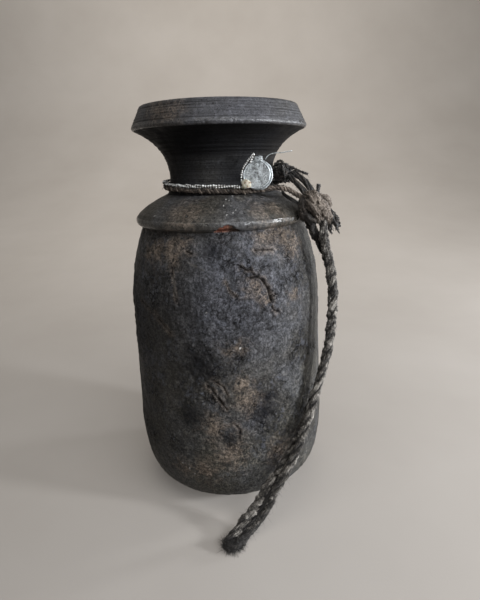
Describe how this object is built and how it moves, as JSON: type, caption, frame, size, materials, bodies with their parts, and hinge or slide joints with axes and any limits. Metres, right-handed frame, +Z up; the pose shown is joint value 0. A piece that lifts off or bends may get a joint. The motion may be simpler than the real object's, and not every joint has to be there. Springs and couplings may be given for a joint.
{
  "type": "wooden carrying pot",
  "caption": "Narrow-necked carved wooden pot with a turned rim, a cord round its neck, a knotted rope loop to carry it by, and a small metal tag.",
  "frame": {"origin": "middle of the flat foot that the pot stands on", "axes": "+Z up along the pot's own axis; -Y is the front, where the tag hangs; +X is the side where the knot hangs"},
  "size_m": [0.2143, 0.2469, 0.4],
  "materials": {
    "pot_wood": "old dark carved wood with a crusted blue-grey to black patina, worn brown on edges, smooth and near black on the neck",
    "brown_cord": "brown plaited cord, matt",
    "dark_cord": "dark greasy cord, slightly glossy, frayed",
    "grey_rope": "worn grey-brown hairy hand-laid rope",
    "white_string": "off-white twisted string, dusty",
    "grey_metal": "dull silver-grey soft metal, dented",
    "cream_wax": "cream wax"
  },
  "bodies": {
    "pot": {"pot": "pot_wood"},
    "harness": {"neck_cord": "brown_cord", "neck_string": "white_string", "lashing_clump": "dark_cord", "upper_lashing_outer": "dark_cord", "upper_lashing_inner": "dark_cord", "lower_lashing": "grey_rope", "loose_strand": "brown_cord", "carry_knot": "grey_rope", "knot_stub": "grey_rope", "frayed_tassel": "dark_cord"},
    "carry_loop": {"carry_rope": "grey_rope"},
    "tag": {"tag_face": "grey_metal", "tag_back": "grey_metal", "tag_strip": "grey_metal", "tag_string": "white_string", "tag_wire": "grey_metal", "wax_blob": "cream_wax"}
  },
  "joints": [
    {"name": "harness_turn", "type": "hinge", "parent": "pot", "child": "harness", "pos_m": [0, 0, 0.3263], "axis": [0, 0, 1], "continuous": true},
    {"name": "carry_loop_swing", "type": "hinge", "parent": "harness", "child": "carry_loop", "pos_m": [0.0873, -0.05, 0.3053], "axis": [-0.9539, -0.3, 0], "range_deg": [0, 150]},
    {"name": "tag_swing", "type": "hinge", "parent": "harness", "child": "tag", "pos_m": [0.0324, -0.06524, 0.32417], "axis": [0.9613, -0.2756, 0], "range_deg": [0, 110]}
  ]
}
